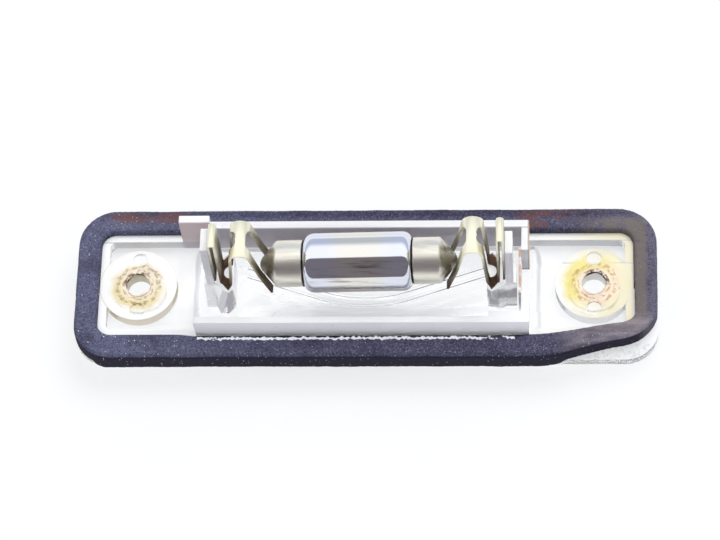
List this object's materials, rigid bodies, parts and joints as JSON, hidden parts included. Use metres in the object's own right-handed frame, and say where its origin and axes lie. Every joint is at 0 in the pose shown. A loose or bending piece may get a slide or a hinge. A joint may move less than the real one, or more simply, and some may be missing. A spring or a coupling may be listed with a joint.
{
  "type": "number plate lamp",
  "caption": "Clear moulded number plate lamp insert with screw bosses, foam gasket, sprung contact clips and a festoon bulb.",
  "frame": {"origin": "under the middle of the flange, on the flat outer face of the lens window that it lies on", "axes": "+X along the flange towards the end with the side wall, +Y across it, +Z from the outer face towards the gasket, clips and bulb"},
  "size_m": [0.1072, 0.0308, 0.0279],
  "materials": {
    "lens_plastic": "clear, slightly scuffed, yellowed round the screw holes",
    "gasket_foam": "matt closed-cell foam with pale specks",
    "clip_metal": "dull plated spring brass, rust-brown in the bends",
    "bulb_glass": "clear glass with a silvery film inside",
    "cap_metal": "bright plated brass",
    "cement": "matt",
    "solder": "dull",
    "lead_wire": "satin",
    "filament_wire": "dark grey wire"
  },
  "bodies": {
    "root": {"lens": "lens_plastic", "gasket": "gasket_foam", "clip_left": "clip_metal", "clip_right": "clip_metal", "bulb_glass": "bulb_glass", "cap_left": "cap_metal", "cap_right": "cap_metal", "cement_left": "cement", "cement_right": "cement", "solder_left": "solder", "solder_right": "solder", "lead_left": "lead_wire", "lead_right": "lead_wire", "filament": "filament_wire"}
  },
  "joints": []
}
